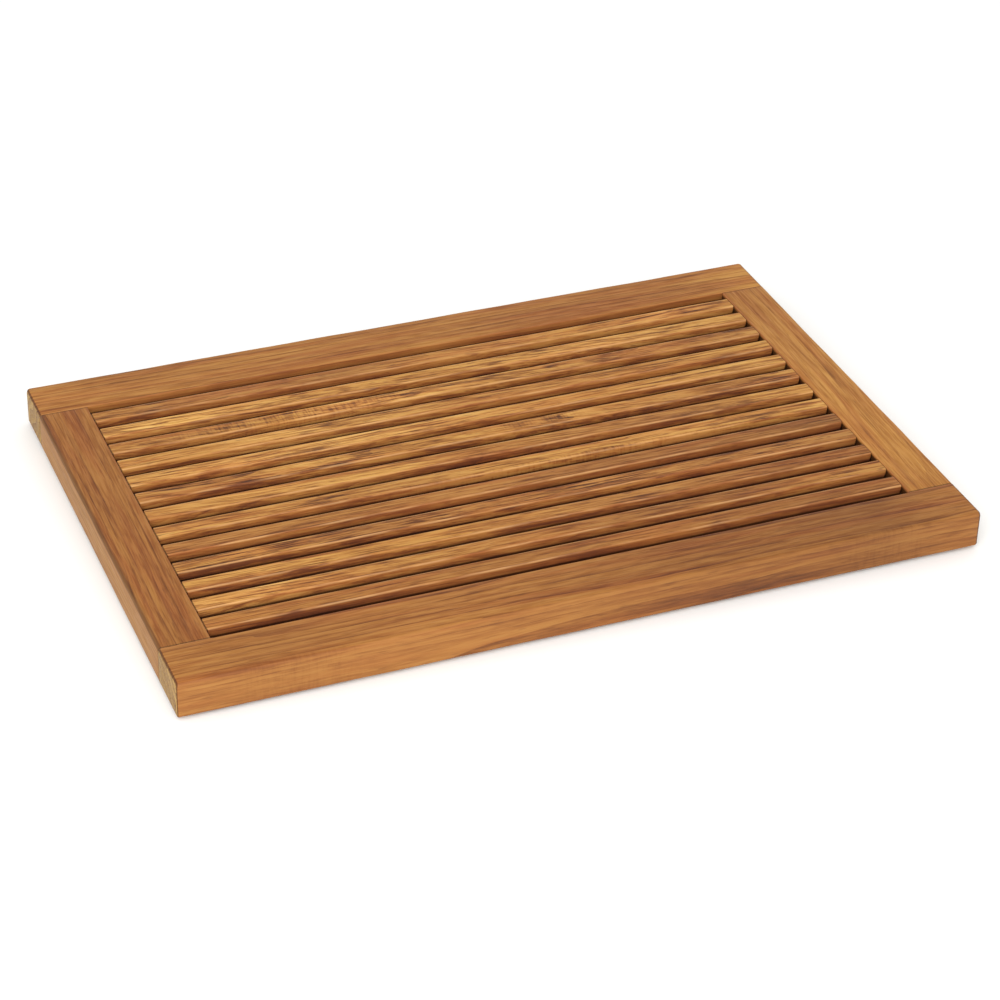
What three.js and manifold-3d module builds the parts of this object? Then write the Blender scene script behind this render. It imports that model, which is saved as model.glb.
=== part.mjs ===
// A slatted teak bath mat. Two long rails run the full length, two end rails are tenoned between them, and
// thirteen slats are tenoned into the end rails with a drainage gap on each side of every slat. A bearer is
// let into the long rails under the middle of the slats and screwed to each of them from below. Six rubber
// feet are pushed into the undersides of the long rails.
//
// Millimetres, +X along the mat, +Y to its back, +Z up. The origin is the middle of the mat on the floor.

import * as THREE from "three";
import { mergeVertices } from "three/addons/utils/BufferGeometryUtils.js";
import Module from "manifold-3d";

const wasm = await Module();
wasm.setup();

// Driving dimensions of the mat.
const MAT_LENGTH = 600;
const MAT_DEPTH = 400;
const TIMBER_THICKNESS = 28;
const FLOOR_CLEARANCE = 2.5;
const LONG_RAIL_WIDTH = 42;
const END_RAIL_WIDTH = 36.5;
const JOINT_CLEARANCE = 0.3;

// Slats.
const SLAT_COUNT = 13;
const SLAT_WIDTH = 13.5;
const SLAT_HEIGHT = 18;
const SLAT_TENON = { length: 8, width: 7, height: 10 };

// Corner joints: the tenons on the end rails.
const CORNER_TENON = { length: 22, width: 22, height: 10 };

// Centre bearer, and how far its ends are let into the long rails.
const BEARER_WIDTH = 30;
const BEARER_LAP = 10;

// Countersunk wood screws.
const SCREW = {
  length: 20,
  shankRadius: 1.75,
  headRadius: 3.5,
  headRim: 0.4,
  headHeight: 2.2,
  pointLength: 3,
};
const END_SCREW_INTO_RAIL = 5;

// Push-in rubber feet.
const FOOT = {
  radius: 8,
  soleRadius: 6.8,
  soleEdge: 1.2,
  letIn: 1,
  stemRadius: 3,
  stemLength: 7,
  stemTaper: 0.8,
};
const FOOT_INSET_FROM_SIDE = 19;
const FOOT_INSET_FROM_END = 50;

// Rounding of the edges.
const OUTER_ARRIS = 2.5;
const BOTTOM_ARRIS = 1.5;
const CORNER_ARRIS = 1.2;
const INNER_ARRIS = 0.6;
const SLAT_ARRIS = 1;
const SLAT_END_ARRIS = 0.8;

// Fineness of the facets.
const ARC_STEPS = 3;
const HOLE_SIDES = 12;
const FOOT_SIDES = 20;
const SCREW_SIDES = 12;

// Sizes that follow from the driving dimensions.
const openingLength = MAT_LENGTH - 2 * END_RAIL_WIDTH;
const openingDepth = MAT_DEPTH - 2 * LONG_RAIL_WIDTH;
const slatGap = (openingDepth - SLAT_COUNT * SLAT_WIDTH) / (SLAT_COUNT + 1);
const slatPitch = SLAT_WIDTH + slatGap;
const bearerHeight = TIMBER_THICKNESS - SLAT_HEIGHT - JOINT_CLEARANCE;
const topOfMat = FLOOR_CLEARANCE + TIMBER_THICKNESS;
const railCentreZ = FLOOR_CLEARANCE + TIMBER_THICKNESS / 2;
const slatCentreZ = topOfMat - SLAT_HEIGHT / 2;
const screwHoleRadius = SCREW.shankRadius + JOINT_CLEARANCE;
const footSeatDepth = FOOT.letIn + JOINT_CLEARANCE;

const X = new THREE.Vector3(1, 0, 0);
const Y = new THREE.Vector3(0, 1, 0);
const Z = new THREE.Vector3(0, 0, 1);

const teak = (colour) => new THREE.MeshStandardMaterial({ color: colour, roughness: 0.55, metalness: 0 });
const railTeak = teak(0xb87c44);
const slatTeak = teak(0xc08a4c);
const bearerTeak = teak(0xa87444);
const rubber = new THREE.MeshStandardMaterial({ color: 0x2a2a2a, roughness: 0.85, metalness: 0 });
const steel = new THREE.MeshStandardMaterial({ color: 0xb9b9b4, roughness: 0.35, metalness: 1 });

// The closed solid inside a geometry, ready to join and cut.
function solidOf(geometry) {
  geometry.deleteAttribute("normal");
  geometry.deleteAttribute("uv");
  const merged = mergeVertices(geometry, 1e-4);
  const vertProperties = merged.attributes.position.array;
  const triVerts = new Uint32Array(merged.index.array);
  return new wasm.Manifold(new wasm.Mesh({ numProp: 3, vertProperties, triVerts }));
}

function geometryOf(solid) {
  const { vertProperties, triVerts } = solid.getMesh();
  const geometry = new THREE.BufferGeometry();
  geometry.setAttribute("position", new THREE.BufferAttribute(vertProperties, 3));
  geometry.setIndex(new THREE.BufferAttribute(triVerts, 1));
  geometry.computeVertexNormals();
  return geometry;
}

// A rectangle about the origin. The radii round its lower left, lower right, upper right and upper left
// corners, and a radius of 0 leaves a corner square.
function outline(width, height, radii) {
  const shape = new THREE.Shape();
  const corners = [[-1, -1], [1, -1], [1, 1], [-1, 1]];
  shape.moveTo(-width / 2, -height / 2 + radii[0]);
  corners.forEach(([sideX, sideY], i) => {
    const radius = radii[i];
    const x = sideX * (width / 2 - radius);
    const y = sideY * (height / 2 - radius);
    if (radius > 0) {
      const from = Math.PI + (i * Math.PI) / 2;
      shape.absarc(x, y, radius, from, from + Math.PI / 2, false);
    } else {
      shape.lineTo(x, y);
    }
  });
  return shape;
}

// An outline pushed through along an axis and centred on the origin. The axes say where the outline's own
// right and up directions point, and then the direction of the push.
function pushed(shape, depth, right, up, along) {
  const geometry = new THREE.ExtrudeGeometry(shape, { depth, bevelEnabled: false, curveSegments: ARC_STEPS });
  geometry.translate(0, 0, -depth / 2);
  geometry.applyMatrix4(new THREE.Matrix4().makeBasis(right, up, along));
  return solidOf(geometry);
}

// A squared timber about the origin: the space that its cross-section, its side view and its plan share.
function timber(sizeX, sizeY, sizeZ, { section, side, plan }) {
  const beyond = 2;
  const alongX = pushed(outline(sizeY, sizeZ, section), sizeX + beyond, Y, Z, X);
  const alongY = pushed(outline(sizeX, sizeZ, side), sizeY + beyond, X, Z, Y.clone().negate());
  const alongZ = pushed(outline(sizeX, sizeY, plan), sizeZ + beyond, X, Y, Z);
  return alongX.intersect(alongY).intersect(alongZ);
}

function block(sizeX, sizeY, sizeZ, x, y, z) {
  return solidOf(new THREE.BoxGeometry(sizeX, sizeY, sizeZ).translate(x, y, z));
}

// A round upright hole whose mouth is at the given height, going up from there.
function upwardHole(radius, depth, x, y, mouthZ) {
  const beyond = 1;
  const geometry = new THREE.CylinderGeometry(radius, radius, depth + beyond, HOLE_SIDES);
  geometry.rotateX(Math.PI / 2);
  return solidOf(geometry.translate(x, y, mouthZ + (depth - beyond) / 2));
}

// A turned piece about the Z axis, from [radius, height] points that start and end on the axis.
function turned(points, sides) {
  const profile = points.map(([radius, height]) => new THREE.Vector2(radius, height));
  return new THREE.LatheGeometry(profile, sides).rotateX(Math.PI / 2);
}

// The front long rail, with its outer side towards -Y. Its mortises, bearer housing and foot holes are cut.
function longRailGeometry() {
  const inner = LONG_RAIL_WIDTH / 2;
  const underside = -TIMBER_THICKNESS / 2;
  let rail = timber(MAT_LENGTH, LONG_RAIL_WIDTH, TIMBER_THICKNESS, {
    section: [BOTTOM_ARRIS, INNER_ARRIS, INNER_ARRIS, OUTER_ARRIS],
    side: [BOTTOM_ARRIS, BOTTOM_ARRIS, OUTER_ARRIS, OUTER_ARRIS],
    plan: [CORNER_ARRIS, CORNER_ARRIS, 0, 0],
  });
  const { length, width, height } = CORNER_TENON;
  for (const end of [-1, 1]) {
    const x = (end * (MAT_LENGTH - END_RAIL_WIDTH)) / 2;
    const depth = length + JOINT_CLEARANCE;
    rail = rail.subtract(
      block(width + 2 * JOINT_CLEARANCE, 2 * depth, height + 2 * JOINT_CLEARANCE, x, inner, 0),
    );
  }
  const housingHeight = bearerHeight + JOINT_CLEARANCE;
  const housingWidth = BEARER_WIDTH + 2 * JOINT_CLEARANCE;
  rail = rail.subtract(block(housingWidth, 2 * BEARER_LAP, 2 * housingHeight, 0, inner, underside));
  const screwY = inner - END_SCREW_INTO_RAIL;
  rail = rail.subtract(upwardHole(screwHoleRadius, SCREW.length + JOINT_CLEARANCE, 0, screwY, underside));
  for (const x of footPlaces) {
    const y = -LONG_RAIL_WIDTH / 2 + FOOT_INSET_FROM_SIDE;
    const stemHole = footSeatDepth + FOOT.stemLength;
    rail = rail.subtract(upwardHole(FOOT.radius + JOINT_CLEARANCE, footSeatDepth, x, y, underside));
    rail = rail.subtract(upwardHole(FOOT.stemRadius + JOINT_CLEARANCE, stemHole, x, y, underside));
  }
  return geometryOf(rail);
}

// The left end rail, with its outer side towards -X, a tenon on each end and a mortise for each slat.
function endRailGeometry() {
  const span = openingDepth - 2 * JOINT_CLEARANCE;
  const inner = END_RAIL_WIDTH / 2;
  let rail = timber(END_RAIL_WIDTH, span, TIMBER_THICKNESS, {
    section: [0, 0, 0, 0],
    side: [BOTTOM_ARRIS, INNER_ARRIS, INNER_ARRIS, OUTER_ARRIS],
    plan: [0, 0, 0, 0],
  });
  for (const end of [-1, 1]) {
    const { length, width, height } = CORNER_TENON;
    const rooted = 4;
    const y = end * (span / 2 + (length - rooted) / 2);
    rail = rail.add(block(width, length + rooted, height, 0, y, 0));
  }
  const mortiseWidth = SLAT_TENON.width + 2 * JOINT_CLEARANCE;
  const mortiseHeight = SLAT_TENON.height + 2 * JOINT_CLEARANCE;
  const mortiseDepth = SLAT_TENON.length + JOINT_CLEARANCE;
  for (const y of slatPlaces) {
    const z = slatCentreZ - railCentreZ;
    rail = rail.subtract(block(2 * mortiseDepth, mortiseWidth, mortiseHeight, inner, y, z));
  }
  return geometryOf(rail);
}

// A slat with a tenon on each end and a pilot hole for its screw in the middle of its underside.
function slatGeometry() {
  const body = openingLength - 2 * JOINT_CLEARANCE;
  const { length, width, height } = SLAT_TENON;
  const overall = body + 2 * length;
  const screwDepth = SCREW.length - bearerHeight;
  return geometryOf(
    timber(body, SLAT_WIDTH, SLAT_HEIGHT, {
      section: [INNER_ARRIS, INNER_ARRIS, SLAT_ARRIS, SLAT_ARRIS],
      side: [0, 0, SLAT_END_ARRIS, SLAT_END_ARRIS],
      plan: [INNER_ARRIS, INNER_ARRIS, INNER_ARRIS, INNER_ARRIS],
    })
      .add(block(overall, width, height, 0, 0, 0))
      .subtract(upwardHole(screwHoleRadius, screwDepth, 0, 0, -SLAT_HEIGHT / 2)),
  );
}

// The bearer, with a countersunk clearance hole at each screw.
function bearerGeometry() {
  const overall = openingDepth + 2 * (BEARER_LAP - JOINT_CLEARANCE);
  const eased = Array(4).fill(INNER_ARRIS);
  let bearer = timber(BEARER_WIDTH, overall, bearerHeight, { section: eased, side: eased, plan: eased });
  const underside = -bearerHeight / 2;
  const rim = SCREW.headRadius + JOINT_CLEARANCE;
  const sinkHeight = SCREW.headHeight + JOINT_CLEARANCE;
  const sink = turned(
    [[0, -1], [rim, -1], [rim, SCREW.headRim], [screwHoleRadius, sinkHeight], [0, sinkHeight]],
    HOLE_SIDES,
  );
  for (const y of screwPlaces) {
    bearer = bearer.subtract(upwardHole(screwHoleRadius, bearerHeight + 1, 0, y, underside));
    bearer = bearer.subtract(solidOf(sink.clone().translate(0, y, underside)));
  }
  return geometryOf(bearer);
}

// A countersunk screw standing on its head, with the flat of the head at height 0.
function screwGeometry() {
  const { length, shankRadius, headRadius, headRim, headHeight, pointLength } = SCREW;
  return turned(
    [
      [0, 0],
      [headRadius, 0],
      [headRadius, headRim],
      [shankRadius, headHeight],
      [shankRadius, length - pointLength],
      [0, length],
    ],
    SCREW_SIDES,
  );
}

// A rubber foot with its sole at height 0: a disc with an eased edge, and a stem that pushes into the rail.
function footGeometry() {
  const { radius, soleRadius, soleEdge, letIn, stemRadius, stemLength, stemTaper } = FOOT;
  const shoulder = FLOOR_CLEARANCE + letIn;
  return turned(
    [
      [0, 0],
      [soleRadius, 0],
      [radius, soleEdge],
      [radius, shoulder],
      [stemRadius, shoulder],
      [stemRadius, shoulder + stemLength - stemTaper],
      [stemRadius - stemTaper, shoulder + stemLength],
      [0, shoulder + stemLength],
    ],
    FOOT_SIDES,
  );
}

// Places: the middle of each slat from the back of the mat to its front, of each screw along the bearer,
// and of each foot along a long rail.
const slatPlaces = Array.from({ length: SLAT_COUNT }, (_, i) => ((SLAT_COUNT - 1) / 2 - i) * slatPitch);
const endScrewY = openingDepth / 2 + END_SCREW_INTO_RAIL;
const screwPlaces = [endScrewY, ...slatPlaces, -endScrewY];
const footX = MAT_LENGTH / 2 - FOOT_INSET_FROM_END;
const footPlaces = [-footX, 0, footX];

const mat = new THREE.Group();

function place(parent, name, geometry, material, x, y, z) {
  const mesh = new THREE.Mesh(geometry, material);
  mesh.name = name;
  mesh.position.set(x, y, z);
  parent.add(mesh);
  return mesh;
}

const numbered = (name, i) => `${name}_${String(i + 1).padStart(2, "0")}`;

// The frame. The back and right rails are the front and left ones turned half round.
const frame = new THREE.Group();
const longRail = longRailGeometry();
const endRail = endRailGeometry();
const longRailY = (MAT_DEPTH - LONG_RAIL_WIDTH) / 2;
const endRailX = (MAT_LENGTH - END_RAIL_WIDTH) / 2;
place(frame, "front_long_rail", longRail, railTeak, 0, -longRailY, railCentreZ);
place(frame, "back_long_rail", longRail, railTeak, 0, longRailY, railCentreZ).rotation.z = Math.PI;
place(frame, "left_end_rail", endRail, railTeak, -endRailX, 0, railCentreZ);
place(frame, "right_end_rail", endRail, railTeak, endRailX, 0, railCentreZ).rotation.z = Math.PI;
mat.add(frame);

// The slats, numbered from the back.
const slats = new THREE.Group();
const slat = slatGeometry();
slatPlaces.forEach((y, i) => place(slats, numbered("slat", i), slat, slatTeak, 0, y, slatCentreZ));
mat.add(slats);

// The bearer and its screws.
const support = new THREE.Group();
const bearerZ = FLOOR_CLEARANCE + bearerHeight / 2;
place(support, "centre_bearer", bearerGeometry(), bearerTeak, 0, 0, bearerZ);
const screw = screwGeometry();
screwPlaces.forEach((y, i) => {
  place(support, numbered("bearer_screw", i), screw, steel, 0, y, FLOOR_CLEARANCE);
});
mat.add(support);

// The feet, three under each long rail.
const feet = new THREE.Group();
const foot = footGeometry();
const footY = MAT_DEPTH / 2 - FOOT_INSET_FROM_SIDE;
for (const [side, y] of [["back", footY], ["front", -footY]]) {
  ["left", "middle", "right"].forEach((end, i) => {
    place(feet, `${side}_${end}_foot`, foot, rubber, footPlaces[i], y, 0);
  });
}
mat.add(feet);

export default mat;
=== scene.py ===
# %% [markdown]
# # A slatted teak bath mat
# A duckboard for a bathroom floor: a frame of four teak rails, thirteen thin slats, one bearer under their
# middle, stainless screws and rubber feet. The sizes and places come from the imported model, which stays as
# it is. This lesson gives every piece its fine surface and its finish.

import math

import bmesh
import bpy
import numpy as np
from mathutils import Matrix, Vector


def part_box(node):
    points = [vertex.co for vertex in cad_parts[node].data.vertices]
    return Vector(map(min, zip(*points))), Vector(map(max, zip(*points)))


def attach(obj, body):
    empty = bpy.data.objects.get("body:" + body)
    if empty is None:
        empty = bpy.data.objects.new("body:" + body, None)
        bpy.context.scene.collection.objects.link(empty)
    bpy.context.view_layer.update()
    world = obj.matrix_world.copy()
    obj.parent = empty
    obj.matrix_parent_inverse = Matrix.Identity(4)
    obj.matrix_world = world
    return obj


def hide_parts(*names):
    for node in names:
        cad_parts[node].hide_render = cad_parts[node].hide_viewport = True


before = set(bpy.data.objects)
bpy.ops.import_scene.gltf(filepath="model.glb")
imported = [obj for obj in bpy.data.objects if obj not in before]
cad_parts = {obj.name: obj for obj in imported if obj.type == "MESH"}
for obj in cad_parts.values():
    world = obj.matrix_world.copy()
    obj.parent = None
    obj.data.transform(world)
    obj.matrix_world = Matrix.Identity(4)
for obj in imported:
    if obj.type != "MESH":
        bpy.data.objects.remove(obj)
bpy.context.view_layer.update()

# %% [markdown]
# ## Units and small helpers
# Joiners think in millimetres and Blender in metres, so one constant turns one into the other. Colours are
# written as the hex values that a paint chart gives, in sRGB, and shaders want linear light. One helper adds
# a shader node with its settings and links, and it is enough for every material here. A Mix node has its
# factor in input 0 and its two colours in inputs 6 and 7.

# %% Units, colour and nodes
MM = 0.001
# Settings that many nodes share: a colour multiplied by another, a blend of two, and a soft step.
TINT = {"data_type": "RGBA", "blend_type": "MULTIPLY"}
BLEND = {"data_type": "RGBA", "blend_type": "MIX"}
SMOOTH = {"interpolation_type": "SMOOTHSTEP"}


def linear(hex_colour):
    """An sRGB hex colour as linear RGBA. A channel c becomes c / 12.92 up to 0.04045, and above that
    ((c + 0.055) / 1.055) ^ 2.4."""
    channels = np.array([int(hex_colour[i : i + 2], 16) for i in (0, 2, 4)]) / 255
    low, high = channels / 12.92, ((channels + 0.055) / 1.055) ** 2.4
    return (*np.where(channels <= 0.04045, low, high).tolist(), 1.0)


def wire(tree, node, inputs):
    """Sets a node's inputs, given in its order or as a dict by socket. A number or a colour is set, and
    another node's output is linked."""
    for key, value in inputs.items() if isinstance(inputs, dict) else enumerate(inputs):
        if isinstance(value, bpy.types.NodeSocket):
            tree.links.new(value, node.inputs[key])
        else:
            node.inputs[key].default_value = value


def add(tree, kind, inputs=(), out=0, **settings):
    """Adds a shader node with its settings and inputs, and returns its output called or numbered out, or the
    node itself if out is None."""
    node = tree.nodes.new("ShaderNode" + kind)
    for name, value in settings.items():
        setattr(node, name, value)
    wire(tree, node, inputs)
    return node if out is None else node.outputs[out]


def new_material(name):
    """An empty node material with its output and a Principled shader, which is returned with the tree."""
    material = bpy.data.materials.new(name)
    material.use_nodes = True
    tree = material.node_tree
    tree.nodes.clear()
    shader = add(tree, "BsdfPrincipled", out=None)
    add(tree, "OutputMaterial", {"Surface": shader.outputs["BSDF"]}, out=None)
    return material, tree, shader


print("a golden brown in linear light is", [round(v, 3) for v in linear("B6814C")[:3]])

# %% [markdown]
# ## From a grid of points to a piece
# Every new piece is a surface of two parameters: rings of points, one ring after another along the piece.
# Quads join each ring to the next. Where a ring shrinks to one point the quads become triangles, because
# points in the same place are merged. The sign of the enclosed volume shows whether the faces point out.

# %% Grid surfaces
SHARP_ANGLE = 40


def closed_surface(rings):
    """Vertices and quads of rings[i, j]: j runs once round, and i from one closed end to the other."""
    count, around = rings.shape[:2]
    i, j = np.meshgrid(np.arange(count - 1), np.arange(around), indexing="ij")
    nxt = (j + 1) % around
    corners = [i * around + j, i * around + nxt, (i + 1) * around + nxt, (i + 1) * around + j]
    return rings.reshape(-1, 3), np.stack(corners, axis=-1).reshape(-1, 4)


def outward(points, quads):
    """The quads, turned over if the volume that they enclose is negative. Six times the volume is the sum of
    (a x b) . c over their triangles."""
    a, b, c, d = (points[quads[:, k]] for k in range(4))
    volume = (np.cross(a, b) * c).sum() + (np.cross(a, c) * d).sum()
    return quads if volume > 0 else quads[:, ::-1]


def piece_from(name, shapes, sharp_angle=SHARP_ANGLE):
    """A mesh object that holds the given grid surfaces, closed at seams and poles, smooth up to an angle."""
    points, quads, start = [], [], 0
    for rings in shapes:
        shape_points, shape_quads = closed_surface(rings)
        points.append(shape_points)
        quads.append(outward(shape_points, shape_quads) + start)
        start += len(shape_points)
    mesh = bpy.data.meshes.new(name)
    mesh.from_pydata(np.concatenate(points).tolist(), [], np.concatenate(quads).tolist())
    shaped = bmesh.new()
    shaped.from_mesh(mesh)
    bmesh.ops.remove_doubles(shaped, verts=shaped.verts, dist=1e-7)
    shaped.to_mesh(mesh)
    shaped.free()
    finish_shading(mesh, sharp_angle)
    piece = bpy.data.objects.new(name, mesh)
    bpy.context.scene.collection.objects.link(piece)
    return piece


def finish_shading(mesh, sharp_angle):
    """Smooth shading, with edges sharper than an angle in degrees kept crisp."""
    mesh.polygons.foreach_set("use_smooth", np.ones(len(mesh.polygons), bool))
    mesh.set_sharp_from_angle(angle=math.radians(sharp_angle))
    mesh.update()


# %% [markdown]
# ## Joinery cuts
# A mortise is cut into a finished timber with a chisel or a slot mortiser, and a boolean does the same: the
# timber minus a block. It could be woven into the timber's grid instead, but round holes for feet and
# screws could not, and one way of cutting is easier to follow.

# %% Cut pieces
def carve(piece, shapes):
    """Takes the given closed grid surfaces out of a piece and keeps the result as its mesh."""
    cutter = piece_from(piece.name + "_cutter", shapes)
    cut = piece.modifiers.new("cut", "BOOLEAN")
    cut.object = cutter
    cut.operation = "DIFFERENCE"
    cut.solver = "EXACT"
    bpy.context.view_layer.update()
    carved = bpy.data.meshes.new_from_object(piece.evaluated_get(bpy.context.evaluated_depsgraph_get()))
    piece.modifiers.remove(cut)
    piece.data = carved
    carved.name = piece.name
    bpy.data.objects.remove(cutter)
    finish_shading(carved, SHARP_ANGLE)
    return piece


def block(low, high):
    """A box between two corners, as rings along Z: a point, the bottom's outline, the top's, a point."""
    (x0, y0, z0), (x1, y1, z1) = low, high
    outline = np.array([(x0, y0), (x1, y0), (x1, y1), (x0, y1)])
    middle = np.tile([(x0 + x1) / 2, (y0 + y1) / 2], (4, 1))
    levels = [(middle, z0), (outline, z0), (outline, z1), (middle, z1)]
    return np.array([np.column_stack([flat, np.full(4, z)]) for flat, z in levels])


def turned(profile, centre, segments=48):
    """A turned shape about a vertical axis: each (radius r, height h) of the profile at every angle a gives
    the point (r cos a, r sin a, h), moved to the centre. The profile starts and ends on the axis."""
    radius, height = np.array(profile, float).T
    angle = np.linspace(0, 2 * np.pi, segments, endpoint=False)
    x = radius[:, None] * np.cos(angle) + centre[0]
    y = radius[:, None] * np.sin(angle) + centre[1]
    return np.stack([x, y, np.broadcast_to(height[:, None] + centre[2], x.shape)], axis=-1)


# %% [markdown]
# ## The shape of a timber
# A planed timber is a rectangle carried along its grain. Its long edges, the arrises, are taken off with
# sandpaper, so each is a small quarter circle whose radius wanders a little along the piece, and its ends
# are eased in the same way. A bevel modifier would give every edge the same machine-made radius. Carrying a
# rounded rectangle along the length lets each edge have its own, and lets a hand's unevenness in.

# %% Rounded rectangles along a timber
ARC_STEPS = 6
FLAT_STEPS = 4
END_STEPS = 6
CAP_STEPS = 3
STATION_STEP = 8 * MM
JOINT_FADE = 2 * MM


def rounded_rectangles(low, high, radii):
    """For each station, the outline of the rectangle from low to high (rows of u, v) with corner radii for
    (+u+v, -u+v, -u-v, +u-v). A corner's points are its centre plus r (cos a, sin a) over a quarter turn, and
    evenly spaced points lie between one corner and the next."""
    signs = np.array([(1, 1), (-1, 1), (-1, -1), (1, -1)])
    edge = np.where(signs > 0, high[:, None, :], low[:, None, :])
    centres = edge - signs * radii[:, :, None]
    angle = np.linspace(0, np.pi / 2, ARC_STEPS + 1) + np.arange(4)[:, None] * np.pi / 2
    arc = np.stack([np.cos(angle), np.sin(angle)], axis=-1)
    corners = centres[:, :, None, :] + radii[:, :, None, None] * arc
    share = np.linspace(0, 1, FLAT_STEPS + 2)[1:-1, None]
    last, following = corners[:, :, -1:, :], np.roll(corners[:, :, :1, :], -1, axis=1)
    flats = last * (1 - share) + following * share
    return np.concatenate([corners, flats], axis=2).reshape(len(low), -1, 2)


def unevenness(position, seed):
    """A slow wave along a timber, from about 0.8 to 1.2: three sines of 60 to 200 mm with seeded phases."""
    random = np.random.default_rng(seed)
    waves = [(random.uniform(0, 2 * np.pi), length) for length in (0.2, 0.11, 0.06)]
    total = sum(np.sin(2 * np.pi * position / length + phase) for phase, length in waves)
    return 1 + 0.2 * total / len(waves)


def timber_rings(length, low, high, radii, end_radii, seed, jointed=None):
    """Outlines of a timber at stations s, from -length/2 to length/2. Between low and high (u, v) the section
    has corner radii that vary by unevenness(s). At a distance d from an end, each side is drawn in by
    r - sqrt(r^2 - (r - d)^2), which rounds the end's four edges; end_radii are r for (-u, -v, +u, +v), in one
    row for both ends, or in two rows for the lower and the upper end.
    jointed, if given, is (corners, width, radius): in that width at each end, those corners keep a small
    radius, because another rail is jointed there."""
    end_radii = np.broadcast_to(end_radii, (2, 4))
    half, ease = length / 2, end_radii.max()
    angles = np.linspace(0, np.pi / 2, END_STEPS + 1)
    body = np.linspace(0, half - ease, int(half / STATION_STEP))
    marks = [] if jointed is None else [half - jointed[1] - JOINT_FADE, half - jointed[1]]
    positive = np.unique(np.round(np.concatenate([body[1:], half - ease * (1 - np.cos(angles)), marks]), 9))
    s = np.concatenate([-positive[::-1], [0.0], positive])
    distance = half - np.abs(s)
    r = np.where(s[:, None] < 0, end_radii[0], end_radii[1])
    inside = np.clip(r - distance[:, None], 0, r)
    drawn = r - np.sqrt(r * r - inside * inside)
    corner = np.array(radii) * unevenness(s, seed)[:, None]
    if jointed is not None:
        corners, width, small = jointed
        fade = np.clip((distance - width) / JOINT_FADE, 0, 1)[:, None]
        corner[:, corners] = small * (1 - fade) + corner[:, corners] * fade
    return s, rounded_rectangles(np.array(low) + drawn[:, :2], np.array(high) - drawn[:, 2:], corner)


def capped(s, outlines, along):
    """The rings in space, with each end closed by outlines that shrink to their middle. along is 0 where s
    runs on X, and (u, v) are (y, z), and 1 where s runs on Y, and (u, v) are (x, z)."""
    share = np.linspace(0, 1, CAP_STEPS + 1)[:-1, None, None]

    def cap(outline):
        """Outlines from the middle of an end out to just inside its edge."""
        middle = outline.mean(axis=0)
        return middle + share * (outline - middle)

    first, last = cap(outlines[0]), cap(outlines[-1])[::-1]
    u, v = np.concatenate([first, outlines, last]).transpose(2, 0, 1)
    stations = np.concatenate([np.full(CAP_STEPS, s[0]), s, np.full(CAP_STEPS, s[-1])])
    stations = np.broadcast_to(stations[:, None], u.shape)
    return np.stack([stations, u, v] if along == 0 else [u, stations, v], axis=-1)


# %% [markdown]
# ## Tenons
# A tenon is a smaller rectangle that grows out of a timber's end. In the grid it is one more step: the ring
# at the shoulder is followed, at the same place, by the tenon's own outline, and the flat shoulder is the
# band of quads between them.

# %% Timbers with tenons
def with_tenons(s, outlines, tenon_low, tenon_high, tenon_length, tenon_radius=0.6 * MM):
    """Adds a tenon at each end of a timber: its outline at the shoulder, and again at the tenon's end, where
    it is drawn in by its own radius as a chamfer."""
    low, high = np.array([tenon_low]), np.array([tenon_high])
    radii = np.full((1, 4), tenon_radius)
    outline = rounded_rectangles(low, high, radii)[0]
    chamfer = rounded_rectangles(low + tenon_radius, high - tenon_radius, radii * 0.5)[0]
    steps = [(0, outline), (tenon_length - tenon_radius, outline), (tenon_length, chamfer)]
    left = [(s[0] - step, shape) for step, shape in steps][::-1]
    right = [(s[-1] + step, shape) for step, shape in steps]
    all_s = np.array([p for p, _ in left] + list(s) + [p for p, _ in right])
    all_outlines = np.array([o for _, o in left] + list(outlines) + [o for _, o in right])
    return all_s, all_outlines


# %% [markdown]
# ## Sizes read from the model
# The rails' and slats' boxes give every main size. What the boxes do not show, such as the radius of an
# arris or a mortise's fit, is set here by name.

# %% Sizes
OUTER_ARRIS = 2.5 * MM
BOTTOM_ARRIS = 1.5 * MM
CORNER_ARRIS = 1.2 * MM
SANDED_CORNER = 3.0 * MM
OPENING_ARRIS = 0.7 * MM
JOINT_ARRIS = 0.15 * MM
SLAT_ARRIS = 0.8 * MM
SLAT_END_ARRIS = 0.8 * MM
SLAT_BOTTOM_ARRIS = 0.6 * MM
SLAT_END_BOTTOM_ARRIS = 0.1 * MM
SLAT_CORNER = 1.3 * MM
FIT = 0.3 * MM

front_low, front_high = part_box("front_long_rail")
back_low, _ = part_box("back_long_rail")
left_low, left_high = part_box("left_end_rail")
right_low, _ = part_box("right_end_rail")
bearer_low, bearer_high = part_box("centre_bearer")
slat_names = sorted(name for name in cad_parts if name.startswith("slat_"))
screw_names = sorted(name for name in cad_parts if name.startswith("bearer_screw_"))
foot_names = sorted(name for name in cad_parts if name.endswith("_foot"))

opening_y = back_low.y
opening_x = right_low.x
wood_bottom, wood_top = front_low.z, front_high.z
slat_low, slat_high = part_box(slat_names[0])
SLAT_TENON = {"length": 8 * MM, "width": 7 * MM, "height": 10 * MM}
CORNER_TENON = {"length": 22 * MM, "width": 22 * MM, "height": 10 * MM}
slat_half_body = slat_high.x - SLAT_TENON["length"]
slat_middles = [sum(corner.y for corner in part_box(name)) / 2 for name in slat_names]
print("opening", round(2 * opening_x, 4), "x", round(2 * opening_y, 4), "m, slats", len(slat_names))

# %% [markdown]
# ## The slats
# Thirteen equal pieces. Each is a bar with crisp, lightly sanded arrises on top, smaller ones below, ends
# eased where they meet the end rails, and a stub tenon at each end. Its screw's pilot hole is drilled up
# from the underside. All share one function, and the seed changes how evenly each was sanded.

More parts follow.
